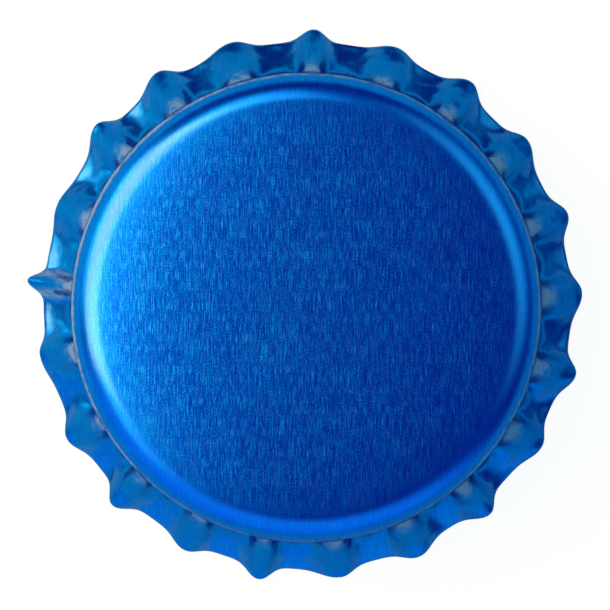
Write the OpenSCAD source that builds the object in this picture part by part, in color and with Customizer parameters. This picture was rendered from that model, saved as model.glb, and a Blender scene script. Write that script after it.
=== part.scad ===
// Crown bottle cap: a fluted cap pressed from tinplate, with a moulded sealing liner inside.
// It stands on its rim with the panel up. Millimetres, +Z up, the origin under its centre.

/* [Pressed cap] */
// Height from the rim to the top of the panel
cap_h = 6; // [5.2:0.1:8]
// Inside diameter of the neck, which slips over the bottle's lip
neck_diameter = 26.75; // [24:0.05:30]
// Thickness of the sheet
sheet_t = 0.24; // [0.2:0.01:0.3]
// Outside radius of the shoulder bend between the panel and the neck
shoulder_r = 1.9; // [1.4:0.1:2.4]
// Height of the plain neck between the shoulder and the tops of the flutes
neck_h = 0.4; // [0.2:0.1:1]

/* [Flutes] */
// Number of flutes pressed round the skirt
flute_count = 21; // [15:1:27]
// How far the floors between the flutes flare out past the neck at the rim
floor_flare = 1.8; // [1.2:0.1:2.4]
// How far the crests stand out past the floors at the rim
flute_depth = 0.7; // [0.4:0.05:1]
// How far the rim rises at a crest
tip_lift = 0.2; // [0:0.05:0.4]
// How much wider a flute is in its belly than at the rim
belly = 0.3; // [0:0.05:0.4]
// How much narrower a flute is at its root than at the rim
pinch = 0.3; // [0:0.05:0.4]
// How deep the dimples beside the root of a flute are
pocket_t = 0.2; // [0:0.05:0.25]

/* [Liner] */
// Thickness of the liner's thin middle
web_t = 0.35; // [0.25:0.05:0.6]
// Thickness of the liner at its sealing ring
seal_t = 1.1; // [0.8:0.05:1.4]
// Width of the sealing ring
seal_w = 1.9; // [1.4:0.1:2.6]
// Radius of the channel between the ring's two lips
channel_r = 0.4; // [0.2:0.05:0.5]
// Clearance between the liner's edge and the shoulder bend
liner_gap = 0.2; // [0.1:0.05:0.4]
// Width of the liner's edge outside the sealing ring
lip_w = 0.18; // [0.1:0.02:0.3]

/* [Hidden] */
$fn = 96;

neck_r = neck_diameter / 2 + sheet_t;
flute_top = cap_h - shoulder_r - neck_h;
pitch = 360 / flute_count;
// How far past a solid its cutter reaches
over = 1;

// Places on the skirt are given as parts of the way down, from its top (0) to the rim (1).
// The turned neck ends here, just below the dimples.
neck_end = 0.66;
neck_low = flute_top * (1 - neck_end);
// The flutes start this far inside the neck's face, so that they break out of it cleanly.
tuck = sheet_t * 0.6;
// Powers of the curves down a floor and down a crest: a floor stays upright for longer.
floor_curve = 3.8;
crest_curve = 1.2;
// A flute is pinched and steep-sided above free_from and loose and round free_over further on.
free_from = 0.35;
free_over = 0.5;
root_steep = 4.5;
rim_steep = 2.2;
// The belly's curve is the cube of the way down times what is left of it; this is its peak.
belly_peak = 27 / 256;
// The dimples: their middle and half height down the skirt, then their distance from the crest
// and half width, both as multiples of the flute's half width.
pocket_down = 0.6;
pocket_tall = 0.17;
pocket_off = 1.3;
pocket_wide = 0.4;
// Direction of the first flute, turned clockwise from +Y
first_flute = 1.5;
// Facets across a flute and down the skirt
flute_steps = 12;
skirt_steps = 8;
// How far the facets crowd towards the crests, and the rows towards the rim
crest_crowd = 0.5;
row_crowd = 1.6;
// Step over which the skirt's slope is measured, as a part of the way down and in degrees
slope_step = 0.01;

// The press leaves no two flutes alike. Clockwise from the first one, each has its lean off
// even spacing in degrees, its extra reach as a part of the flutes' depth, and its half widths
// before and after the crest in degrees.
CHARACTER = [
    [0, 0.05, 3, 2.5],
    [0.5, -0.2, 4, 3.5],
    [0.5, 0.15, 3.5, 3],
    [0, 0, 3, 4],
    [0.5, 0.05, 3, 3],
    [0, -0.05, 3, 4],
    [0, 0.15, 2.5, 3.5],
    [-0.5, -0.15, 3, 4],
    [0, 0.15, 2.5, 3.5],
    [0, -0.05, 3.5, 3.5],
    [0, -0.15, 3, 4.5],
    [0, 0.2, 2.5, 3],
    [-0.5, -0.15, 3, 3.5],
    [0, 0.3, 3, 2.5],
    [-0.5, -0.05, 3.5, 3],
    [1, -0.3, 5, 2.5],
    [-0.5, 0.45, 2, 1.5],
    [-1, -0.5, 4, 4],
    [0.5, 0.2, 4, 2.5],
    [0, 0.15, 4, 3],
    [-0.5, -0.15, 4.5, 3.5],
];
even_pitch = 360 / len(CHARACTER);

function sum(list, i = 0) = i < len(list) ? list[i] + sum(list, i + 1) : 0;
function character(k) = CHARACTER[(k + 2 * len(CHARACTER)) % len(CHARACTER)];

// How loose a flute is: 0 in its pinched root, 1 towards the rim, smooth between
function free(down) =
    let (part = max(0, min(1, (down - free_from) / free_over)))
    part * part * (3 - 2 * part);

// An offset from a flute's crest as a multiple of its half width on that side
function beside(k, turn) =
    let (c = character(k), off = turn - first_flute - k * pitch - c[0])
    abs(off) / (off < 0 ? c[2] : c[3]) * even_pitch / pitch;

// A bell across an offset: 1 at its middle, half at 1, 0 far away, steeper with a higher power
function bell(off, power) = exp(-ln(2) * pow(abs(off), power));

function flute_width(down) =
    1 - pinch * (1 - free(down)) + belly * pow(down, 3) * (1 - down) / belly_peak;

function flute_bell(k, turn, down) =
    bell(beside(k, turn) / flute_width(down), root_steep + (rim_steep - root_steep) * free(down));

function near_flutes(turn) =
    let (k = round((turn - first_flute) / pitch))
    [k - 1, k, k + 1];

function pocket(turn, down) =
    pocket_t * bell((down - pocket_down) / pocket_tall, 2)
    * sum([for (k = near_flutes(turn)) bell((beside(k, turn) - pocket_off) / pocket_wide, 2)]);

function floor_out(turn, down) = (floor_flare + tuck) * pow(down, floor_curve) - pocket(turn, down);
function crest_out(k, down) =
    (floor_flare + flute_depth * (1 + character(k)[1]) + tuck) * pow(down, crest_curve);

// Outside radius of the skirt in a direction, from its top (down = 0) to the rim (down = 1)
function skirt_r(turn, down) =
    let (floor = floor_out(turn, down))
    neck_r - tuck + floor
    + sum([for (k = near_flutes(turn)) (crest_out(k, down) - floor) * flute_bell(k, turn, down)]);

function skirt_z(turn, down) =
    flute_top * (1 - down)
    + tip_lift * down * sum([for (k = near_flutes(turn)) flute_bell(k, turn, down)]);

// How much further in the sheet's inner face is: its thickness, measured along the radius
function sheet_in(turn, down) =
    let (
        slope = (skirt_r(turn, down + slope_step) - skirt_r(turn, down))
            / (flute_top * slope_step),
        side = (skirt_r(turn + slope_step, down) - skirt_r(turn - slope_step, down))
            / (2 * slope_step * PI / 180 * neck_r)
    )
    sheet_t * sqrt(1 + slope * slope + side * side);

// Direction of a facet's edge: it follows the crest's lean, and half way to the next it is even.
function facet_turn(k, i) =
    let (part = i / flute_steps - 0.5, even = 4 * part * part)
    first_flute + k * pitch + character(k)[0] * (1 - even)
    + pitch * part * (1 - crest_crowd * (1 - even));

function at(turn, r, z) = [r * sin(turn), r * cos(turn), z];

// A closed solid through rings of points, the lowest ring first, each one clockwise
module loft(rings) {
    n = len(rings[0]);
    last = len(rings) - 1;
    low = sum([for (p = rings[0]) p.z]) / n;
    high = sum([for (p = rings[last]) p.z]) / n;
    points = [for (ring = rings) each ring, [0, 0, low], [0, 0, high]];
    base = n * len(rings);
    sides = [for (i = [0 : last - 1], j = [0 : n - 1])
        let (a = i * n + j, b = i * n + (j + 1) % n)
        each [[a, b, b + n], [a, b + n, a + n]]];
    ends = [for (j = [0 : n - 1])
        let (next = (j + 1) % n)
        each [[base, next, j], [base + 1, last * n + j, last * n + next]]];
    polyhedron(points = points, faces = concat(sides, ends), convexity = 6);
}

// The skirt as a solid plug, bounded by the outer face of the sheet or by its inner face
module fluted_plug(inner) {
    turns = [for (k = [0 : flute_count - 1], i = [1 : flute_steps]) facet_turn(k, i)];
    rings = [for (i = [0 : skirt_steps])
        let (down = 1 - pow(i / skirt_steps, row_crowd))
        [for (t = turns)
            at(t, skirt_r(t, down) - (inner ? sheet_in(t, down) : 0), skirt_z(t, down))]];
    below = [for (p = rings[0]) [p.x, p.y, -over]];
    loft(inner ? concat([below], rings) : rings);
}

// Half the section of a disc whose upper edge is rounded by a bend
module rounded_half(r, bend, low, top) {
    translate([0, low])
        square([r, top - bend - low]);
    translate([0, low])
        square([r - bend, top - low]);
    translate([r - bend, top - bend])
        circle(r = bend);
}

module crown_shell() {
    color("#0b5fb8")
        difference() {
            union() {
                rotate_extrude()
                    rounded_half(neck_r, shoulder_r, neck_low, cap_h);
                fluted_plug(false);
            }
            rotate_extrude()
                rounded_half(neck_r - sheet_t, shoulder_r - sheet_t, neck_low, cap_h - sheet_t);
            fluted_plug(true);
        }
}

module sealing_liner() {
    seat = cap_h - sheet_t;
    bend = shoulder_r - sheet_t;
    edge_r = neck_r - sheet_t - liner_gap;
    seal_r = edge_r - lip_w;
    color("#d5d8d6")
        rotate_extrude()
            difference() {
                intersection() {
                    rounded_half(edge_r, bend, neck_low, seat);
                    translate([0, seat - seal_t])
                        square([edge_r, seal_t]);
                }
                translate([0, seat - seal_t - over])
                    square([seal_r - seal_w, seal_t - web_t + over]);
                translate([seal_r - seal_w / 2, seat - seal_t])
                    circle(r = channel_r);
            }
}

crown_shell();
sealing_liner();
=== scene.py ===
"""A crown bottle cap: brushed tinplate under a transparent blue lacquer, with its moulded liner.

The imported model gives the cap's real size. This script dresses it: it works the pressed sheet out
as one fine surface, gives every face its finish, and lights the cap on a plain pale floor.

Sizes are in millimetres until something is made from them. Directions round the cap are in
degrees, clockwise from +Y as seen from above.
"""
import logging
import math
from dataclasses import dataclass
from enum import Enum, IntEnum
from typing import Any

import bpy
import numpy as np
from mathutils import Matrix, Vector


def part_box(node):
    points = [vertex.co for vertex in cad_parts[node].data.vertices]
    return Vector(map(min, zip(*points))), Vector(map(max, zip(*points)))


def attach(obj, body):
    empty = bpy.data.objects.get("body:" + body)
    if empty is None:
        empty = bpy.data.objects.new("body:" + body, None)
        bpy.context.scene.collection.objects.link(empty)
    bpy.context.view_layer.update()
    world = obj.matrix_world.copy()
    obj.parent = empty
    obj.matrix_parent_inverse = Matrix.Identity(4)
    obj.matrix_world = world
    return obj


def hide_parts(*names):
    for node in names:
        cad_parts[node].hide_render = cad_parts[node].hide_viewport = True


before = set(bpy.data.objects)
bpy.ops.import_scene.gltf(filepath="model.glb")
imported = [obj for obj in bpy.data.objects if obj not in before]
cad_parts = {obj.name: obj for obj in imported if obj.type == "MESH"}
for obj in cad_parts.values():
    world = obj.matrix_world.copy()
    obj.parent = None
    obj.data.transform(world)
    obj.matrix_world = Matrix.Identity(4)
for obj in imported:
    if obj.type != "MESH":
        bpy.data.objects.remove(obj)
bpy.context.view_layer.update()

LOG = logging.getLogger("crown_cap")
# One millimetre in the scene's metres
MM = 0.001
# What a mesh tells its materials: its chart on the flat sheet, and the lacquer's haze, with some
# painted light in it, and gloss
BLANK_UV = "blank"
HAZE = "haze"
GLOSS = "gloss"
# Width of sheet that the chart covers, which keeps every pattern on it at its real size
CHART_W = 40.0

Array = np.ndarray
Tree = bpy.types.NodeTree
Socket = bpy.types.NodeSocket
Material = bpy.types.Material
Triple = tuple[float, float, float]
Colour = tuple[float, float, float, float]
# Settings that nodes share
FLAT = {"noise_dimensions": "2D"}
MIXES_COLOUR = {"data_type": "RGBA"}
TIMES = {"operation": "MULTIPLY"}
SMOOTH = {"interpolation_type": "SMOOTHSTEP"}


# ---------------------------------------- colour and nodes

def linear(hex_colour: str) -> Colour:
    """Turns an sRGB hex colour into the linear values that the renderer works in.

    Args:
        hex_colour: the colour as six hex digits after a hash.

    Returns:
        Red, green, blue and an alpha of 1, in linear light.
    """
    parts = [int(hex_colour[i:i + 2], 16) / 255 for i in (1, 3, 5)]
    red, green, blue = (p / 12.92 if p <= 0.04045 else ((p + 0.055) / 1.055) ** 2.4 for p in parts)
    return red, green, blue, 1.0


def add_node(tree: Tree, kind: str, settings: dict[str, Any] | None = None,
             inputs: dict[str | int, Any] | None = None) -> bpy.types.Node:
    """Adds a node with its settings, and with values or links on its inputs.

    Args:
        tree: the node tree that gets the node.
        kind: the node's type name.
        settings: attribute names of the node and their values.
        inputs: socket names or numbers, each with a value or with the output that feeds it.

    Returns:
        The new node.
    """
    node = tree.nodes.new(kind)
    for name, value in (settings or {}).items():
        setattr(node, name, value)
    for name, value in (inputs or {}).items():
        if isinstance(value, Socket):
            tree.links.new(value, node.inputs[name])
        else:
            node.inputs[name].default_value = value
    return node


def new_material(name: str) -> tuple[Material, Tree]:
    """Makes an empty node material.

    Args:
        name: the material's name.

    Returns:
        The material and its node tree.
    """
    material = bpy.data.materials.new(name)
    material.use_nodes = True
    material.node_tree.nodes.clear()
    return material, material.node_tree


# ---------------------------------------- surfaces

class Facing(Enum):
    """Which way a disc faces."""
    UP = "up"
    DOWN = "down"


def grid_faces(rows: int, cols: int) -> Array:
    """Lists the quads of a grid whose columns run round to the first one.

    A point's number is its row times the number of columns plus its column. Each quad joins a
    point to its neighbours in the next row and the next column.

    Args:
        rows: how many rings of points there are.
        cols: how many points each ring has.

    Returns:
        Four point numbers for each quad, row by row.
    """
    row, col = np.meshgrid(np.arange(rows - 1), np.arange(cols), indexing="ij")
    here, beside = row * cols + col, row * cols + (col + 1) % cols
    return np.stack([here, beside, beside + cols, here + cols], axis=-1).reshape(-1, 4)


def fan_faces(ring_start: int, cols: int, pole: int, facing: Facing) -> Array:
    """Lists the triangles between a clockwise ring of points and the pole that it closes on.

    Args:
        ring_start: number of the ring's first point.
        cols: how many points the ring has.
        pole: number of the pole's point.
        facing: the way that the triangles face.

    Returns:
        Three point numbers for each triangle.
    """
    here = np.arange(cols)
    beside = (here + 1) % cols
    pair = (beside, here) if facing is Facing.UP else (here, beside)
    return np.stack([np.full(cols, pole), ring_start + pair[0], ring_start + pair[1]], axis=-1)


def make_piece(name: str, points: Array, faces: list[Array], slots: list[Array],
               materials: list[Material], chart: Array,
               looks: dict[str, Array]) -> bpy.types.Object:
    """Makes a smooth mesh object at the origin from whole arrays.

    Args:
        name: the object's name.
        points: one row of x, y and z in millimetres for each point.
        faces: arrays of faces, each array with one number of corners.
        slots: the material number of every face, one array for each array of faces.
        materials: the materials, in the order of their numbers.
        chart: the two coordinates of every point on the flat sheet, from 0 to 1.
        looks: one value a point for each named attribute that the materials read.

    Returns:
        The object, linked to the scene.
    """
    corners = np.concatenate([f.ravel() for f in faces]).astype(np.int32)
    sizes = np.concatenate([np.full(len(f), f.shape[1]) for f in faces])
    mesh = bpy.data.meshes.new(name)
    mesh.vertices.add(len(points))
    mesh.vertices.foreach_set("co", (points * MM).astype(np.float32).ravel())
    mesh.loops.add(len(corners))
    mesh.loops.foreach_set("vertex_index", corners)
    mesh.polygons.add(len(sizes))
    mesh.polygons.foreach_set("loop_start", (np.cumsum(sizes) - sizes).astype(np.int32))
    mesh.polygons.foreach_set("material_index", np.concatenate(slots).astype(np.int32))
    for material in materials:
        mesh.materials.append(material)
    mesh.update(calc_edges=True)
    sheet = mesh.uv_layers.new(name=BLANK_UV)
    sheet.data.foreach_set("uv", chart[corners].astype(np.float32).ravel())
    for title, values in looks.items():
        look = mesh.attributes.new(title, "FLOAT", "POINT")
        look.data.foreach_set("value", values.astype(np.float32))
    mesh.polygons.foreach_set("use_smooth", np.ones(len(sizes), dtype=bool))
    mesh.validate()
    piece = bpy.data.objects.new(name, mesh)
    bpy.context.scene.collection.objects.link(piece)
    return piece


@dataclass(frozen=True)
class Wave:
    """A wave round the cap: its height, a direction that it is highest in, and its crests."""
    height: float
    toward: float
    crests: int = 1


def around(turn: Array, waves: tuple[Wave, ...]) -> Array:
    """Works out a factor round the cap: 1 plus each wave's height times its cosine.

    Args:
        turn: direction of each point.
        waves: the waves that the factor follows.

    Returns:
        A value near 1 for each point.
    """
    factor = np.ones_like(turn)
    for wave in waves:
        factor += wave.height * np.cos(np.radians(wave.crests * (turn - wave.toward)))
    return factor


def rise(place: Array, start: float, over: float) -> Array:
    """Works out a straight rise from 0 to 1, flat on both sides of it.

    Args:
        place: where each point is.
        start: where the rise starts.
        over: how far on it ends.

    Returns:
        A value from 0 to 1 for each point.
    """
    return np.clip((place - start) / over, 0, 1)


# ---------------------------------------- the pressed cap

# Rings of points down the plain neck
NECK_RINGS = 2
# What stands for 0 where a logarithm is taken
TINY = 1e-9


@dataclass(frozen=True)
class Flute:
    """One flute of the skirt: how the press left it.

    lean is its crest's turn off even spacing and before and after are its half widths on the two
    sides of its crest, in degrees; reach is its extra length as a part of the flutes' depth.
    """
    lean: float
    reach: float
    before: float
    after: float


FLUTES = (
    Flute(0, 0.05, 3, 2.5), Flute(0.5, -0.2, 4, 3.5), Flute(0.5, 0.15, 3.5, 3),
    Flute(0, 0, 3, 4), Flute(0.5, 0.05, 3, 3), Flute(0, -0.05, 3, 4),
    Flute(0, 0.15, 2.5, 3.5), Flute(-0.5, -0.15, 3, 4), Flute(0, 0.15, 2.5, 3.5),
    Flute(0, -0.05, 3.5, 3.5), Flute(0, -0.15, 3, 4.5), Flute(0, 0.2, 2.5, 3),
    Flute(-0.5, -0.15, 3, 3.5), Flute(0, 0.3, 3, 2.5), Flute(-0.5, -0.05, 3.5, 3),
    Flute(1, -0.3, 5, 2.5), Flute(-0.5, 0.45, 2, 1.5), Flute(-1, -0.5, 4, 4),
    Flute(0.5, 0.2, 4, 2.5), Flute(0, 0.15, 4, 3), Flute(-0.5, -0.15, 4.5, 3.5),
)


@dataclass(frozen=True)
class Wear:
    """How the press dulled the lacquer, with painted light in its waves round the cap: 0 is clear,
    1 is hazy and grey.

    Places on the shoulder are its lean in radians, from 0 at the panel to a quarter turn at the
    neck. Places on the skirt are parts of the way down it, from 0 to 1.
    """
    # The line that the die rubs round the shoulder, and its fading towards the neck
    ring: float = 0.5
    ring_from: float = 0.96
    ring_over: float = 0.18
    ring_loss: float = 0.6
    loss_from: float = 1.32
    loss_over: float = 0.2
    # Waves of its haze round the cap; the one with a single crest, highest at 320°, makes the line
    # paler on the brightly lit upper left: painted light
    ring_wear_and_light_waves: tuple[Wave, ...] = (Wave(0.4, 105, 2), Wave(0.25, 320))
    # The plain neck, and the top of the skirt under it
    neck: float = 0.2
    under_neck: float = 0.18
    under_deep: float = 0.16
    # The roots of the flutes: how worn their middles are, and where they begin and fade out
    root: float = 0.95
    root_from: float = 0.14
    root_deep: float = 0.42
    # Waves of their haze round the cap; the one with a single crest, highest at 90°, makes the
    # roots paler on the dimly lit right: painted light that makes up for the weaker lamps there
    root_wear_and_light_waves: tuple[Wave, ...] = (Wave(0.3, 105, 2), Wave(0.3, 90))
    # Power that makes a flute's steep bell a soft round one
    soften: float = 0.44
    # The sides of the flutes that the press drew out furthest
    pulled: float = 2.0
    pulled_from: float = 0.25
    pulled_over: float = 0.2
    # The crease across the floors between flutes
    crease: float = 0.3
    crease_down: float = 0.55
    crease_tall: float = 0.07

    def shoulder(self, lean: Array, turn: Array) -> Array:
        """Works out the haze of the shoulder and of the neck's rings.

        It rises as a square to the rubbed line and then falls to what is left of it.

        Args:
            lean: lean of each of the shoulder's rings.
            turn: direction of each column.

        Returns:
            One value for each ring and column.
        """
        line = rise(lean, self.ring_from, self.ring_over) ** 2
        line = line * (1 - self.ring_loss * rise(lean, self.loss_from, self.loss_over))
        down = np.concatenate([self.ring * line, [self.neck] * NECK_RINGS])
        return down[:, None] * around(turn, self.ring_wear_and_light_waves)

    def skirt(self, turn: Array, down: Array, layers: Array, pockets: Array) -> Array:
        """Works out the haze of the skirt, as the sum of four kinds of wear, with painted light in
        the roots' waves.

        The roots are a round bell plus the bell times what is left of it, which is highest on a
        flute's sides. The flutes that were drawn out furthest have such sides all the way down.
        The top of the skirt and the crease in the floors are bells down the skirt.

        Args:
            turn: direction of each point.
            down: how far down the skirt each point is.
            layers: how much of each flute there is at each point.
            pockets: how deep the dimples are at each point.

        Returns:
            One value for each point.
        """
        bell = layers.sum(axis=0).clip(0, 1)
        begun = rise(down, 0, self.root_from) ** 2
        round_bell = np.exp(-np.log(1 / bell.clip(TINY, 1)) ** self.soften)
        roots = self.root * round_bell + bell * (1 - bell)
        roots = roots * begun * np.exp(-(down / self.root_deep) ** 2)
        roots = roots * around(turn, self.root_wear_and_light_waves)
        reach = np.array([flute.reach for flute in FLUTES])
        drawn_out = rise(reach, self.pulled_from, self.pulled_over)
        sides = np.tensordot(drawn_out, layers * (1 - layers), axes=1) * begun
        top = self.under_neck * np.exp(-(down / self.under_deep) ** 2)
        floor = self.crease * (1 - bell) * (1 - pockets).clip(0, 1)
        fold = floor * np.exp(-((down - self.crease_down) / self.crease_tall) ** 2)
        return np.clip(roots + self.pulled * sides + top + fold, 0, 1)


class Face(IntEnum):
    """The faces of the pressed sheet, numbered as its finishes are."""
    OUTSIDE = 0
    EDGE = 1
    INSIDE = 2


@dataclass
class CrownShell:
    """The cap itself: one disc of tinplate, lacquered flat and then pressed.

    Places on the skirt are parts of the way down it, from 0 at its top to 1 at the rim.
    """
    cap_h: float
    neck_r: float = 13.615
    sheet_t: float = 0.24
    shoulder_r: float = 1.9
    neck_h: float = 0.4
    # How far the panel falls from its middle to its edge, and the power of that fall
    panel_fall: float = 0.12
    fall_power: float = 6.0
    # The floors' flare at the rim, how far the crests stand past them and how far they lift
    floor_flare: float = 1.8
    flute_depth: float = 0.7
    tip_lift: float = 0.2
    # Powers of the curves down a floor and down a crest, and the crest's share of a late flare
    floor_curve: float = 3.8
    crest_curve: float = 1.2
    tip_flare: float = 0.14
    flare_curve: float = 4.0
    # A flute is pinched and steep above free_from and loose and round free_over further on; its
    # belly is the cube of the way down times what is left of it, made 1 at its peak by the gain
    belly: float = 0.3
    belly_gain: float = 9.48
    pinch: float = 0.3
    root_steep: float = 4.5
    rim_steep: float = 2.2
    free_from: float = 0.35
    free_over: float = 0.5
    # The dimples: depth, middle and half height down the skirt, then distance from the crest and
    # half width as multiples of the flute's half width
    pocket: float = 0.2
    pocket_down: float = 0.6
    pocket_tall: float = 0.17
    pocket_off: float = 1.3
    pocket_wide: float = 0.4
    # The flutes start this far inside the neck's face, and blend into it over about this much
    tuck: float = 0.144
    blend: float = 0.12
    # Direction of the first flute
    first_flute: float = 1.5
    # Height of the floors at the rim, and how far the rounded cut edge bulges
    rim_z: float = 0.22
    edge_round: float = 0.05
    # The lacquer's extra gloss on the floors between flutes starts here and is full further on
    gloss_from: float = 0.72
    gloss_over: float = 0.2
    # Points across a flute, and rings down each part of the sheet
    flute_cols: int = 30
    panel_rows: int = 10
    shoulder_rows: int = 21
    skirt_rows: int = 42
    rim_rows: int = 5
    # The panel's rings crowd towards the shoulder: one less the square of this falling share
    panel_spread: tuple[float, float] = (0.96, 0.18)
    wear: Wear = Wear()

    @property
    def flute_top(self) -> float:
        """Height at which the flutes start."""
        return self.cap_h - self.shoulder_r - self.neck_h

    @property
    def turns(self) -> Array:
        """Direction of every column."""
        cols = len(FLUTES) * self.flute_cols
        return np.arange(cols) * 360 / cols

    @property
    def skirt_grid(self) -> list[Array]:
        """Direction of every point of the skirt, and how far down it is."""
        return np.meshgrid(self.turns, np.linspace(0, 1, self.skirt_rows), indexing="xy")

    def offsets(self, turn: Array) -> list[tuple[Array, Array]]:
        """Works out how far every point lies from each flute's crest.

        Args:
            turn: direction of each point.

        Returns:
            For each flute, the offsets in degrees and the half width on each point's side.
        """
        pitch = 360 / len(FLUTES)
        places = []
        for k, flute in enumerate(FLUTES):
            off = (turn - self.first_flute - k * pitch - flute.lean + 180) % 360 - 180
            places.append((off, np.where(off < 0, flute.before, flute.after)))
        return places

    def bells(self, turn: Array, down: Array) -> Array:
        """Works out how much of each flute there is at every point.

        A flute is 1 at its crest and falls as 2 to the power of minus the offset over the half
        width, raised to a steepness. It is narrow and steep at the top of the skirt, wide in the
        belly and round at the rim.

        Args:
            turn: direction of each point.
            down: how far down the skirt each point is.

        Returns:
            An array with one layer for each flute.
        """
        free = rise(down, self.free_from, self.free_over)
        free = free ** 2 * (3 - 2 * free)
        width = 1 - self.pinch * (1 - free) + self.belly * self.belly_gain * down ** 3 * (1 - down)
        steep = self.root_steep + (self.rim_steep - self.root_steep) * free
        return np.stack([np.exp2(-(np.abs(off) / (half * width)) ** steep)
                         for off, half in self.offsets(turn)])

    def pockets(self, turn: Array, down: Array) -> Array:
        """Works out how deep the dimples beside the roots of the flutes are, from 0 to about 1.

        Each is a bell round the flute's side times a bell down the skirt.

        Args:
            turn: direction of each point.
            down: how far down the skirt each point is.

        Returns:
            One value for each point.
        """
        depth = np.zeros_like(turn)
        for off, half in self.offsets(turn):
            depth += np.exp2(-((np.abs(off) / half - self.pocket_off) / self.pocket_wide) ** 2)
        return depth * np.exp2(-((down - self.pocket_down) / self.pocket_tall) ** 2)

    def skirt(self, turn: Array, down: Array) -> tuple[Array, Array]:
        """Works out the radius and height of the skirt's outer face.

        The floors between flutes flare out as a power of the way down, and so do the crests with
        a lower power and a late flare. Each flute's bell leads from one to the other, and a smooth
        maximum, half of the gap plus the root of its square and the blend's, joins them to the
        upright neck.

        Args:
            turn: direction of each point.
            down: how far down the skirt each point is.

        Returns:
            The radius and the height of each point.
        """
        bells = self.bells(turn, down)
        floor = (self.floor_flare + self.tuck) * down ** self.floor_curve
        floor = floor - self.pocket * self.pockets(turn, down)
        radius = self.neck_r - self.tuck + floor
        curve = ((1 - self.tip_flare) * down ** self.crest_curve
                 + self.tip_flare * down ** self.flare_curve)
        for bell, flute in zip(bells, FLUTES, strict=True):
            crest = self.floor_flare + self.flute_depth * (1 + flute.reach) + self.tuck
            radius = radius + (crest * curve - floor) * bell
        gap = radius - self.neck_r
        radius = self.neck_r + (gap + np.sqrt(gap ** 2 + self.blend ** 2)) / 2
        height = self.flute_top + (self.rim_z - self.flute_top) * down
        height = height + self.tip_lift * down * bells.sum(axis=0)
        return radius, height

    def outer_haze(self) -> Array:
        """Works out how hazy the press left the lacquer, with painted light in its waves round the
        cap.

        Returns:
            One value for each point of the outer face.
        """
        turn, down = self.skirt_grid
        lean = np.linspace(0, np.pi / 2, self.shoulder_rows)
        panel = np.zeros((self.panel_rows, len(self.turns)))
        skirt = self.wear.skirt(turn, down, self.bells(turn, down), self.pockets(turn, down))
        return np.vstack([panel, self.wear.shoulder(lean, self.turns), skirt])

    def outer_gloss(self) -> Array:
        """Works out the lacquer's extra gloss: up to 1 on the floors between flutes at the rim.

        Returns:
            One value for each point of the outer face.
        """
        turn, down = self.skirt_grid
        bell = self.bells(turn, down).sum(axis=0).clip(0, 1)
        above = np.zeros((self.panel_rows + self.shoulder_rows + NECK_RINGS, len(self.turns)))
        return np.vstack([above, (1 - bell) * rise(down, self.gloss_from, self.gloss_over)])

    def outer_face(self) -> tuple[Array, Array]:
        """Lays rings of points over the panel, the shoulder, the neck and the skirt.

        The panel falls as a high power of the way out, the shoulder is a quarter of a circle that
        starts at the panel's slope, and the neck is upright.

        Returns:
            The points as rings by columns by three, and each ring's distance from the centre of
            the flat blank, measured along the sheet.
        """
        flat_r = self.neck_r - self.shoulder_r
        bend_z = self.cap_h - self.shoulder_r
        part = 1 - np.linspace(*self.panel_spread, self.panel_rows) ** 2
        slope = self.fall_power * self.panel_fall / flat_r
        lean = np.linspace(slope, np.pi / 2, self.shoulder_rows)
        neck = np.arange(1, NECK_RINGS + 1) / (NECK_RINGS + 1)
        profile_r = np.concatenate([part * flat_r, flat_r + self.shoulder_r * np.sin(lean),
                                    [self.neck_r] * NECK_RINGS])
        profile_z = np.concatenate([self.cap_h - self.panel_fall * part ** self.fall_power,
                                    bend_z - self.panel_fall + self.shoulder_r * np.cos(lean),
                                    bend_z - self.neck_h * neck])
        skirt_r, skirt_z = self.skirt(*self.skirt_grid)
        radius = np.vstack([np.repeat(profile_r[:, None], len(self.turns), axis=1), skirt_r])
        height = np.vstack([np.repeat(profile_z[:, None], len(self.turns), axis=1), skirt_z])
        angle = np.radians(self.turns)
        points = np.stack([radius * np.sin(angle), radius * np.cos(angle), height], axis=-1)
        steps = np.hypot(np.diff(radius, axis=0), np.diff(height, axis=0)).mean(axis=1)
        along = profile_r[0] + np.concatenate([[0], np.cumsum(steps)])
        return points, along

    @staticmethod
    def normals(points: Array) -> Array:
        """Works out the outward normal of every point of a round grid.

        It is the cross product of the differences along the rings and across them.

        Args:
            points: rings by columns by three.

        Returns:
            Unit vectors in the same layout.
        """
        sideways = np.roll(points, -1, axis=1) - np.roll(points, 1, axis=1)
        normal = np.cross(np.gradient(points, axis=0), sideways)
        normal *= np.sign(normal[0, 0, 2])
        return normal / np.linalg.norm(normal, axis=-1, keepdims=True)

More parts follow.
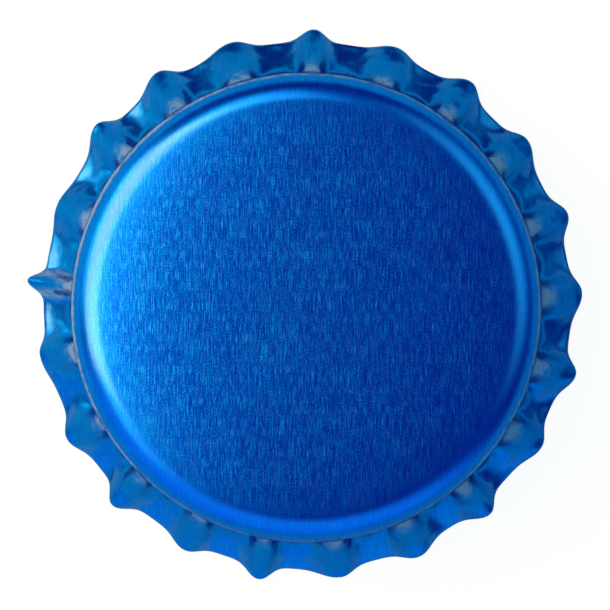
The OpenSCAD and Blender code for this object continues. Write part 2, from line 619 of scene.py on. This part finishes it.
    def build(self, outside: Material, edge: Material, inside: Material) -> bpy.types.Object:
        """Builds the closed sheet: its outer face, its cut edge and its inner face.

        The inner face is the outer one moved along its normals by the sheet's thickness, and the
        cut edge is half an ellipse between them.

        Args:
            outside: finish of the outer face.
            edge: finish of the cut edge.
            inside: finish of the inner face.

        Returns:
            The shell's object.
        """
        outer, along = self.outer_face()
        normal = self.normals(outer)
        out = outer[-1] - outer[-2]
        out /= np.linalg.norm(out, axis=-1, keepdims=True)
        bend = np.linspace(0, np.pi, self.rim_rows + 2)[1:-1, None, None]
        across = normal[-1] * self.sheet_t / 2
        rim = outer[-1] - across + np.cos(bend) * across + np.sin(bend) * out * self.edge_round
        rings = np.concatenate([outer, rim, (outer - normal * self.sheet_t)[::-1]])
        rows, cols = rings.shape[:2]
        top, under = [0, 0, self.cap_h], [0, 0, self.cap_h - self.sheet_t]
        points = np.vstack([rings.reshape(-1, 3), top, under])
        reach = np.concatenate([along, np.full(self.rim_rows, along[-1]), along[::-1]]) / CHART_W
        angle = np.radians(self.turns)
        chart = 0.5 + reach[:, None, None] * np.stack([np.sin(angle), np.cos(angle)], axis=-1)
        chart = np.vstack([chart.reshape(-1, 2), [0.5, 0.5], [0.5, 0.5]])
        faces = [grid_faces(rows, cols), fan_faces(0, cols, rows * cols, Facing.UP),
                 fan_faces((rows - 1) * cols, cols, rows * cols + 1, Facing.DOWN)]
        row = np.repeat(np.arange(rows - 1), cols)
        first_edge, first_inner = len(outer) - 1, len(outer) + self.rim_rows
        side = np.where(row < first_inner, Face.EDGE, Face.INSIDE)
        side = np.where(row < first_edge, Face.OUTSIDE, side)
        slots = [side, np.full(cols, Face.OUTSIDE), np.full(cols, Face.INSIDE)]
        rest = np.zeros(len(points) - len(outer) * cols)
        looks = {HAZE: np.concatenate([self.outer_haze().ravel(), rest]),
                 GLOSS: np.concatenate([self.outer_gloss().ravel(), rest])}
        return make_piece("crown_shell_sheet", points, faces, slots, [outside, edge, inside],
                          chart, looks)


@dataclass
class MouldedLiner:
    """The soft ring and web moulded under the panel."""
    seat_z: float
    edge_r: float = 13.175
    bend_r: float = 1.66
    web_t: float = 0.35
    seal_t: float = 1.1
    seal_w: float = 1.9
    lip_w: float = 0.18
    channel_r: float = 0.4
    # Width of web in the section, the discs' smallest ring and their distance from the section
    web_w: float = 0.6
    hub_r: float = 0.5
    disc_gap: float = 0.2
    # Rings of points in each disc and in the section, points round a curve and round the liner
    web_rows: int = 10
    ring_rows: int = 150
    curve_points: int = 25
    cols: int = 256
    # How many points on either side smooth the section's corners
    soften: int = 4

    def section(self) -> tuple[Array, Array]:
        """Works out the ring's section, from the web round the two lips to the top.

        The outline is drawn with sharp corners, spaced out evenly and then smoothed with a bell
        of weights, so that every edge comes out a little round.

        Returns:
            The radius and the height of each point.
        """
        low = self.seat_z - self.seal_t
        seal_r = self.edge_r - self.lip_w
        inner, middle = seal_r - self.seal_w, seal_r - self.seal_w / 2
        groove = np.linspace(np.pi, 0, self.curve_points)
        start = math.asin((low - self.seat_z + self.bend_r) / self.bend_r)
        bend = np.linspace(start, np.pi / 2, self.curve_points)
        r = np.concatenate([[inner - self.web_w, inner, inner],
                            middle + self.channel_r * np.cos(groove),
                            self.edge_r - self.bend_r + self.bend_r * np.cos(bend)])
        z = np.concatenate([[self.seat_z - self.web_t] * 2, [low],
                            low + self.channel_r * np.sin(groove),
                            self.seat_z - self.bend_r + self.bend_r * np.sin(bend)])
        along = np.concatenate([[0], np.cumsum(np.hypot(np.diff(r), np.diff(z)))])
        even = np.linspace(0, along[-1], self.ring_rows)
        weights = np.exp2(-(np.arange(-self.soften, self.soften + 1) / (self.soften / 2)) ** 2.0)
        weights /= weights.sum()
        lines = [np.pad(np.interp(even, along, line), self.soften, mode="edge") for line in (r, z)]
        smooth_r, smooth_z = (np.convolve(line, weights, "valid") for line in lines)
        return smooth_r, smooth_z

    def build(self, finish: Material) -> bpy.types.Object:
        """Turns the section round the axis and closes it with flat discs below and above.

        Args:
            finish: the liner's finish.

        Returns:
            The liner's object.
        """
        ring_r, ring_z = self.section()
        web_r = np.linspace(self.hub_r, ring_r[0] - self.disc_gap, self.web_rows)
        top_r = np.linspace(ring_r[-1] - self.disc_gap, self.hub_r, self.web_rows)
        radius = np.concatenate([web_r, ring_r, top_r])
        height = np.concatenate([np.full(self.web_rows, ring_z[0]), ring_z,
                                 np.full(self.web_rows, self.seat_z)])
        angle = np.arange(self.cols) * 2 * np.pi / self.cols
        rings = np.stack([radius[:, None] * np.sin(angle), radius[:, None] * np.cos(angle),
                          np.repeat(height[:, None], self.cols, axis=1)], axis=-1)
        points = np.vstack([rings.reshape(-1, 3), [0, 0, height[0]], [0, 0, height[-1]]])
        rows, count = len(radius), len(radius) * self.cols
        faces = [grid_faces(rows, self.cols)[:, ::-1],
                 fan_faces(0, self.cols, count, Facing.DOWN),
                 fan_faces(count - self.cols, self.cols, count + 1, Facing.UP)]
        slots = [np.zeros(len(part)) for part in faces]
        chart = 0.5 + points[:, :2] / CHART_W
        return make_piece("liner_moulding", points, faces, slots, [finish], chart, {})


# ---------------------------------------- finishes

@dataclass(frozen=True)
class Span:
    """Two ends of a measure and the value that each gives, which holds past it."""
    ends: tuple[float, float] = (0.0, 1.0)
    gives: tuple[float, float] = (0.0, 1.0)

    @property
    def inputs(self) -> dict[str, float]:
        """The settings of a node that turns the measure into the value."""
        return {"From Min": self.ends[0], "From Max": self.ends[1],
                "To Min": self.gives[0], "To Max": self.gives[1]}


@dataclass(frozen=True)
class Grain:
    """A noise drawn out along the flat sheet's second axis."""
    width: float
    length: float
    detail: float
    roughness: float

    def draw(self, tree: Tree, chart: Socket) -> Socket:
        """Adds the noise to a material.

        Args:
            tree: the material's node tree.
            chart: output for the place on the flat sheet.

        Returns:
            The noise's output, about 0.5 on average.
        """
        place = add_node(tree, "ShaderNodeMapping", inputs={
            "Vector": chart, "Scale": (CHART_W / self.width, CHART_W / self.length, 1)})
        noise = add_node(tree, "ShaderNodeTexNoise", FLAT, {
            "Vector": place.outputs["Vector"], "Scale": 1.0, "Detail": self.detail,
            "Roughness": self.roughness})
        return noise.outputs["Fac"]


@dataclass(frozen=True)
class LacqueredTinplate:
    """Transparent blue lacquer over brushed tinplate: a coloured metal with a clear coat."""
    # The lacquer over the brushing's hollows and over its ridges: a deep blue with paler lines
    deep: str = "#003eb6"
    pale: str = "#0882d0"
    tones: tuple[float, float] = (0.47, 0.72)
    # Lines of the brushing, drawn coarser than real ones so that they show
    streak: Grain = Grain(0.065, 1.4, 2.0, 0.6)
    # Fine roughness of the steel, which breaks the lines up and is drawn coarser too
    grit: Grain = Grain(0.08, 0.1, 1.0, 0.5)
    grit_share: float = 0.42
    # Slow clouds in the lacquer's thickness
    mottle: Grain = Grain(1.1, 5.0, 2.0, 0.5)
    mottle_share: float = 0.08
    # The grain shows on the panel and is nearly even below it
    calm: Span = Span((5.83 * MM, 5.97 * MM), (0.22, 1.0))
    even_grain: float = 0.56
    # Short bright scratches that glint in the panel, as coarse as the lines
    fleck_colour: str = "#3ca4fc"
    fleck: Grain = Grain(0.06, 0.6, 1.0, 0.5)
    fleck_share: Span = Span((0.54, 0.76), (0.0, 0.5))
    # What the press drew out, below the shoulder, is a greener blue and faintly dented
    drawn: Span = Span((4.7 * MM, 5.45 * MM), (1.0, 0.0))
    drawn_tint: Colour = (0.8, 1.0, 0.8, 1.0)
    dent: float = 1.1
    dent_detail: float = 0.5
    dent_depth: float = 0.14
    # Lacquer that the press crazed: greyer, patchy and less like a mirror; its waves round the cap
    # add painted light
    stretched: str = "#566a9c"
    flaw: float = 0.45
    flaw_detail: float = 3.0
    flaw_roughness: float = 0.6
    patchy: Span = Span((0.38, 0.62), (0.45, 1.0))
    haze: Span = Span((0.08, 0.55))
    sheen: Span = Span(gives=(1.0, 0.55))
    # Soft, streaky shine of the metal: duller on the brushing's ridges and drawn out across it
    scatter: Span = Span((0.46, 0.68), (0.25, 0.33))
    anisotropy: float = 0.3
    # Bright cyan of the metal where it turns away from the eye
    grazing: str = "#18b0e0"
    # The clear coat's sharp glints: strong on the panel, weak below it, more where the floors end
    coat_roughness: float = 0.09
    coat_ior: Span = Span((5.4 * MM, 5.75 * MM), (1.03, 1.3))
    gloss: float = 0.22

    def grain(self, tree: Tree, chart: Socket, calm: Socket) -> Socket:
        """Adds the grain of the brushed sheet, as lines with grit and clouds in them.

        Args:
            tree: the material's node tree.
            chart: output for the place on the flat sheet.
            calm: output for how much the grain shows.

        Returns:
            The grain's output, about 0.5 on average.
        """
        streak, mottle, grit = (
            pattern.draw(tree, chart) for pattern in (self.streak, self.mottle, self.grit))
        lined = add_node(tree, "ShaderNodeMix", inputs={0: self.grit_share, 2: streak, 3: grit})
        both = add_node(tree, "ShaderNodeMix", inputs={
            0: self.mottle_share, 2: lined.outputs[0], 3: mottle})
        grain = add_node(tree, "ShaderNodeMix", inputs={
            0: calm, 2: self.even_grain, 3: both.outputs[0]})
        return grain.outputs[0]

    def blue(self, tree: Tree, grain: Socket, fleck_here: Socket, drawn: Socket) -> Socket:
        """Adds the colour of sound lacquer.

        Args:
            tree: the material's node tree.
            grain: the grain's output.
            fleck_here: output for the share of glinting scratches.
            drawn: output for how far the press drew the sheet out.

        Returns:
            The colour's output.
        """
        ramp = add_node(tree, "ShaderNodeValToRGB", inputs={"Fac": grain})
        for stop, tone, colour in zip(ramp.color_ramp.elements, self.tones, (self.deep, self.pale),
                                      strict=True):
            stop.position = tone
            stop.color = linear(colour)
        flecked = add_node(tree, "ShaderNodeMix", MIXES_COLOUR, {
            0: fleck_here, 6: ramp.outputs["Color"], 7: linear(self.fleck_colour)})
        toned = add_node(tree, "ShaderNodeMix", MIXES_COLOUR | {"blend_type": "MULTIPLY"}, {
            0: drawn, 6: flecked.outputs[2], 7: self.drawn_tint})
        return toned.outputs[2]

    def crazing(self, tree: Tree, place: Socket) -> Socket:
        """Adds the share of crazed lacquer: the mesh's haze, torn into patches.

        Args:
            tree: the material's node tree.
            place: output for the place on the cap.

        Returns:
            The share's output.
        """
        stretch = add_node(tree, "ShaderNodeAttribute", {"attribute_name": HAZE})
        flaw = add_node(tree, "ShaderNodeTexNoise", inputs={
            "Vector": place, "Scale": 1 / (self.flaw * MM), "Detail": self.flaw_detail,
            "Roughness": self.flaw_roughness})
        patchy = add_node(tree, "ShaderNodeMapRange", inputs={
            "Value": flaw.outputs["Fac"], **self.patchy.inputs})
        torn = add_node(tree, "ShaderNodeMath", TIMES, {
            0: stretch.outputs["Fac"], 1: patchy.outputs["Result"]})
        haze = add_node(tree, "ShaderNodeMapRange", SMOOTH, {
            "Value": torn.outputs[0], **self.haze.inputs})
        return haze.outputs["Result"]

    def make(self) -> Material:
        """Makes the material.

        Returns:
            The material.
        """
        material, tree = new_material("blue_lacquered_tinplate")
        chart = add_node(tree, "ShaderNodeUVMap", {"uv_map": BLANK_UV}).outputs["UV"]
        place = add_node(tree, "ShaderNodeTexCoord").outputs["Object"]
        height = add_node(tree, "ShaderNodeSeparateXYZ", inputs={"Vector": place}).outputs["Z"]
        calm, drawn = (
            add_node(tree, "ShaderNodeMapRange", inputs={
                "Value": height, **span.inputs}).outputs["Result"]
            for span in (self.calm, self.drawn))
        grain = self.grain(tree, chart, calm)
        fleck_share = add_node(tree, "ShaderNodeMapRange", inputs={
            "Value": self.fleck.draw(tree, chart), **self.fleck_share.inputs})
        fleck_here = add_node(tree, "ShaderNodeMath", TIMES, {
            0: fleck_share.outputs["Result"], 1: calm})
        haze = self.crazing(tree, place)
        paint = add_node(tree, "ShaderNodeMix", MIXES_COLOUR, {
            0: haze, 6: self.blue(tree, grain, fleck_here.outputs[0], drawn),
            7: linear(self.stretched)})
        sheen = add_node(tree, "ShaderNodeMapRange", inputs={"Value": haze, **self.sheen.inputs})
        scatter = add_node(tree, "ShaderNodeMapRange", inputs={
            "Value": grain, **self.scatter.inputs})
        dent = add_node(tree, "ShaderNodeTexNoise", inputs={
            "Vector": place, "Scale": 1 / (self.dent * MM), "Detail": self.dent_detail})
        bump = add_node(tree, "ShaderNodeBump", inputs={
            "Height": dent.outputs["Fac"], "Strength": drawn, "Distance": self.dent_depth * MM})
        tangent = add_node(tree, "ShaderNodeTangent", {
            "direction_type": "UV_MAP", "uv_map": BLANK_UV})
        varnish = add_node(tree, "ShaderNodeMapRange", SMOOTH, {
            "Value": height, **self.coat_ior.inputs})
        gloss = add_node(tree, "ShaderNodeAttribute", {"attribute_name": GLOSS})
        coat = add_node(tree, "ShaderNodeMath", {"operation": "MULTIPLY_ADD"}, {
            0: gloss.outputs["Fac"], 1: self.gloss, 2: varnish.outputs["Result"]})
        shader = add_node(tree, "ShaderNodeBsdfPrincipled", inputs={
            "Base Color": paint.outputs[2], "Metallic": sheen.outputs["Result"],
            "Roughness": scatter.outputs["Result"], "Anisotropic": self.anisotropy,
            "Tangent": tangent.outputs["Tangent"], "Specular Tint": linear(self.grazing),
            "Normal": bump.outputs["Normal"], "Coat Weight": 1.0,
            "Coat Roughness": self.coat_roughness, "Coat IOR": coat.outputs[0],
            "Coat Normal": bump.outputs["Normal"]})
        add_node(tree, "ShaderNodeOutputMaterial", inputs={"Surface": shader.outputs["BSDF"]})
        return material


@dataclass(frozen=True)
class PlainMetal:
    """Plain tinplate: a metal with a soft gloss and streaks from dull to pale."""
    name: str
    pale: str
    dull: str
    roughness: float
    # How much the streaks change the roughness either way
    uneven: float = 0.06
    # Lines of the rolling, drawn coarser than real ones so that they show
    streak: Grain = Grain(0.1, 2.0, 2.0, 0.6)
    streak_ends: tuple[float, float] = (0.35, 0.65)

    def make(self) -> Material:
        """Makes the material, whose rolling streaks follow the flat sheet.

        Returns:
            The material.
        """
        material, tree = new_material(self.name)
        chart = add_node(tree, "ShaderNodeUVMap", {"uv_map": BLANK_UV})
        streak = self.streak.draw(tree, chart.outputs["UV"])
        tone = add_node(tree, "ShaderNodeMix", MIXES_COLOUR, {
            0: streak, 6: linear(self.dull), 7: linear(self.pale)})
        scatter = Span(self.streak_ends,
                       (self.roughness - self.uneven, self.roughness + self.uneven))
        rough = add_node(tree, "ShaderNodeMapRange", inputs={"Value": streak, **scatter.inputs})
        shader = add_node(tree, "ShaderNodeBsdfPrincipled", inputs={
            "Base Color": tone.outputs[2], "Metallic": 1.0, "Roughness": rough.outputs["Result"]})
        add_node(tree, "ShaderNodeOutputMaterial", inputs={"Surface": shader.outputs["BSDF"]})
        return material


# The sheared edge is painted a dark blue that stands for shade, a painted dark outline along the
# rim; the inside is a pale, slightly warm grey
EDGE_STEEL_PAINTED_SHADE = PlainMetal("sheared_steel_painted_shade", "#1a2e52", "#122240", 0.5)
CLEAR_TINPLATE = PlainMetal("clear_lacquered_tinplate", "#d0d2ce", "#bcbfba", 0.32)


@dataclass(frozen=True)
class LinerCompound:
    """Moulded soft polyethylene: off-white, satin, a little light passing into it."""
    # Off-white with faint clouds of a greyer one
    pale: str = "#d9dcd8"
    shade: str = "#c9cdca"
    cloud: float = 1.5
    cloud_detail: float = 3.0
    # Satin shine of a moulded face, broken by its fine pebbling
    roughness: float = 0.42
    ior: float = 1.5
    pebble: float = 0.12
    pebble_detail: float = 2.0
    pebble_depth: float = 0.01
    pebble_share: float = 0.3
    # Light that passes into the skin and softens the edges
    waxy: float = 0.3
    depth: float = 0.3

    def make(self) -> Material:
        """Makes the material.

        Returns:
            The material.
        """
        material, tree = new_material("soft_polyethylene")
        place = add_node(tree, "ShaderNodeTexCoord").outputs["Object"]
        cloud = add_node(tree, "ShaderNodeTexNoise", inputs={
            "Vector": place, "Scale": 1 / (self.cloud * MM), "Detail": self.cloud_detail})
        tone = add_node(tree, "ShaderNodeMix", MIXES_COLOUR, {
            0: cloud.outputs["Fac"], 6: linear(self.shade), 7: linear(self.pale)})
        pebble = add_node(tree, "ShaderNodeTexNoise", inputs={
            "Vector": place, "Scale": 1 / (self.pebble * MM), "Detail": self.pebble_detail})
        bump = add_node(tree, "ShaderNodeBump", inputs={
            "Height": pebble.outputs["Fac"], "Strength": self.pebble_share,
            "Distance": self.pebble_depth * MM})
        shader = add_node(tree, "ShaderNodeBsdfPrincipled", inputs={
            "Base Color": tone.outputs[2], "Roughness": self.roughness, "IOR": self.ior,
            "Subsurface Weight": self.waxy, "Subsurface Scale": self.depth * MM,
            "Subsurface Radius": (1.0, 1.0, 1.0), "Normal": bump.outputs["Normal"]})
        add_node(tree, "ShaderNodeOutputMaterial", inputs={"Surface": shader.outputs["BSDF"]})
        return material


# ---------------------------------------- studio

def aimed(place: Vector, back: Vector, up: Vector) -> Matrix:
    """Works out the pose of a lamp or a camera, which both look along their own -Z.

    Args:
        place: where it stands.
        back: unit vector against its view.
        up: direction that is up in its view.

    Returns:
        The pose.
    """
    right = up.cross(back).normalized()
    turn = Matrix((right, back.cross(right), back)).transposed().to_4x4()
    return Matrix.Translation(place) @ turn


@dataclass(frozen=True)
class Softbox:
    """A rectangular lamp that faces the cap, placed by its direction.

    turn is its direction round the cap, tilt its angle from straight up and roll its turn on its
    own axis, in degrees. glow is the red, green and blue that a mirror shows. soft is the part of
    it over which its sides and lower end fade in, and top_fade that of its upper end.
    """
    name: str
    turn: float
    tilt: float
    distance: float
    width: float
    height: float
    glow: Triple
    soft: float
    top_fade: float
    roll: float = 0.0

    def place(self) -> None:
        """Adds the lamp.

        Its power is its brightness times pi times its area, and its light is the product of a
        smooth rise from each of its four edges.
        """
        turn, tilt = math.radians(self.turn), math.radians(self.tilt)
        toward = Vector((math.sin(tilt) * math.sin(turn), math.sin(tilt) * math.cos(turn),
                         math.cos(tilt)))
        level = max(self.glow)
        lamp = bpy.data.lights.new(self.name, "AREA")
        lamp.shape = "RECTANGLE"
        lamp.size, lamp.size_y = self.width * MM, self.height * MM
        lamp.color = [part / level for part in self.glow]
        lamp.energy = level * math.pi * lamp.size * lamp.size_y
        lamp.use_nodes = True
        tree = lamp.node_tree
        tree.nodes.clear()
        across = add_node(tree, "ShaderNodeNewGeometry")
        part = add_node(tree, "ShaderNodeSeparateXYZ", inputs={
            "Vector": across.outputs["Parametric"]})
        edges = (("X", 0.0, self.soft), ("X", 1.0, 1.0 - self.soft),
                 ("Y", 0.0, self.soft), ("Y", 1.0, 1.0 - self.top_fade))
        fade = 1.0
        for axis, dark, full in edges:
            edge = add_node(tree, "ShaderNodeMapRange", SMOOTH, {
                "Value": part.outputs[axis], "From Min": dark, "From Max": full})
            fade = add_node(tree, "ShaderNodeMath", TIMES, {
                0: fade, 1: edge.outputs["Result"]}).outputs[0]
        glow = add_node(tree, "ShaderNodeEmission", inputs={"Strength": fade})
        add_node(tree, "ShaderNodeOutputLight", inputs={"Surface": glow.outputs["Emission"]})
        item = bpy.data.objects.new(self.name, lamp)
        roll = Matrix.Rotation(math.radians(self.roll), 4, "Z")
        item.matrix_world = aimed(toward * self.distance * MM, toward, Vector((0, 0, 1))) @ roll
        item.visible_camera = False
        bpy.context.scene.collection.objects.link(item)


# The warm first lamp gives the pale highlight at the left. The others are blue-green, so that the
# lacquer mirrors them as a clear blue.
SOFTBOXES = (
    Softbox("softbox_left", 290, 44, 100, 122, 114, (11.5, 5.6, 2.1), 0.15, 0.45, 17),
    Softbox("softbox_side", 292, 74, 110, 120, 46, (1.4, 3.4, 2.1), 0.3, 0.3),
    Softbox("softbox_low", 248, 39, 120, 112, 84, (0.5, 3.2, 2.3), 0.4, 0.4),
    Softbox("softbox_upper", 278, 20, 110, 96, 56, (0.3, 5.0, 3.1), 0.4, 0.5),
    Softbox("softbox_right", 66, 54, 140, 264, 156, (0.4, 2.2, 1.25), 0.5, 0.35, -16),
    Softbox("fill_far", 337, 43, 140, 110, 125, (0.5, 3.8, 2.7), 0.4, 0.4),
)


@dataclass
class Studio:
    """The plain pale floor, the room, the lamps and the camera."""
    lamps: tuple[Softbox, ...] = SOFTBOXES
    # The floor is a square that reaches this far to each side and lies this far under the rim
    floor_half: float = 1500.0
    floor_drop: float = 0.01
    # It takes light as pale paint, and shows as nearly white to the eye but only faintly in metal
    floor_paint: Colour = (0.8, 0.8, 0.8, 1.0)
    white_share: float = 0.94
    white_in_metal: float = 0.1
    # The room is dim and blue, with a bright blue-green wall in this direction
    room: Colour = (0.03, 0.05, 0.34, 1.0)
    wall: Colour = (0.1, 1.15, 1.5, 1.0)
    wall_toward: Triple = (-0.25, -1.0, -0.12)
    wall_span: Span = Span((0.3, 0.68))
    # The camera stands high above the cap, a little off its axis
    camera_at: Triple = (6.0, 10.5, 350.0)
    camera_aim: Triple = (-0.13, 0.04, 0.0)
    lens: float = 353.0
    clip: tuple[float, float] = (10.0, 10000.0)

    def floor(self) -> None:
        """Lays a large pale floor under the rim."""
        material, tree = new_material("pale_floor")
        path = add_node(tree, "ShaderNodeLightPath")
        seen = add_node(tree, "ShaderNodeMath", {"operation": "MAXIMUM"}, {
            0: path.outputs["Is Camera Ray"], 1: path.outputs["Is Transmission Ray"]})
        mirrored = add_node(tree, "ShaderNodeMath", TIMES, {
            0: path.outputs["Is Glossy Ray"], 1: self.white_in_metal})
        either = add_node(tree, "ShaderNodeMath", {"operation": "MAXIMUM"}, {
            0: seen.outputs[0], 1: mirrored.outputs[0]})
        share = add_node(tree, "ShaderNodeMath", TIMES, {
            0: either.outputs[0], 1: self.white_share})
        paint = add_node(tree, "ShaderNodeBsdfDiffuse", inputs={"Color": self.floor_paint})
        white = add_node(tree, "ShaderNodeEmission")
        mix = add_node(tree, "ShaderNodeMixShader", inputs={
            "Fac": share.outputs[0], 1: paint.outputs["BSDF"], 2: white.outputs["Emission"]})
        add_node(tree, "ShaderNodeOutputMaterial", inputs={"Surface": mix.outputs["Shader"]})
        mesh = bpy.data.meshes.new("floor")
        half, low = self.floor_half * MM, -self.floor_drop * MM
        mesh.from_pydata([(-half, -half, low), (half, -half, low), (half, half, low),
                          (-half, half, low)], [], [(0, 1, 2, 3)])
        mesh.materials.append(material)
        item = bpy.data.objects.new("floor", mesh)
        bpy.context.scene.collection.objects.link(item)

    def world(self) -> None:
        """Gives the room a dim light that grows smoothly into a bright wall."""
        world = bpy.data.worlds.new("room")
        world.use_nodes = True
        tree = world.node_tree
        tree.nodes.clear()
        where = add_node(tree, "ShaderNodeTexCoord")
        toward = add_node(tree, "ShaderNodeVectorMath", {"operation": "DOT_PRODUCT"}, {
            0: where.outputs["Generated"], 1: self.wall_toward})
        share = add_node(tree, "ShaderNodeMapRange", SMOOTH, {
            "Value": toward.outputs["Value"], **self.wall_span.inputs})
        shade = add_node(tree, "ShaderNodeMix", MIXES_COLOUR, {
            0: share.outputs["Result"], 6: self.room, 7: self.wall})
        back = add_node(tree, "ShaderNodeBackground", inputs={"Color": shade.outputs[2]})
        add_node(tree, "ShaderNodeOutputWorld", inputs={"Surface": back.outputs["Background"]})
        bpy.context.scene.world = world

    def camera(self) -> None:
        """Puts the camera in its place, looking down with +Y up in its view."""
        data = bpy.data.cameras.new("camera")
        data.lens = self.lens
        data.clip_start, data.clip_end = (end * MM for end in self.clip)
        item = bpy.data.objects.new("camera", data)
        place = Vector(self.camera_at) * MM
        back = (place - Vector(self.camera_aim) * MM).normalized()
        item.matrix_world = aimed(place, back, Vector((0, 1, 0)))
        bpy.context.scene.collection.objects.link(item)
        bpy.context.scene.camera = item

    def build(self) -> None:
        """Builds the whole studio."""
        self.floor()
        self.world()
        for lamp in self.lamps:
            lamp.place()
        self.camera()
        bpy.context.scene.view_settings.view_transform = "Standard"


def main() -> None:
    """Builds the cap and its studio in order, and reports each piece."""
    logging.basicConfig(level=logging.INFO, format="%(message)s")
    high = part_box("crown_shell")[1]
    shell = CrownShell(cap_h=high[2] / MM)
    sheet = shell.build(LacqueredTinplate().make(), EDGE_STEEL_PAINTED_SHADE.make(), CLEAR_TINPLATE.make())
    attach(sheet, "root")
    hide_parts("crown_shell")
    LOG.info("%s: %d faces", sheet.name, len(sheet.data.polygons))
    liner = MouldedLiner(seat_z=shell.cap_h - shell.sheet_t).build(LinerCompound().make())
    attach(liner, "root")
    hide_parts("sealing_liner")
    LOG.info("%s: %d faces", liner.name, len(liner.data.polygons))
    Studio().build()


if __name__ == "__main__":
    main()
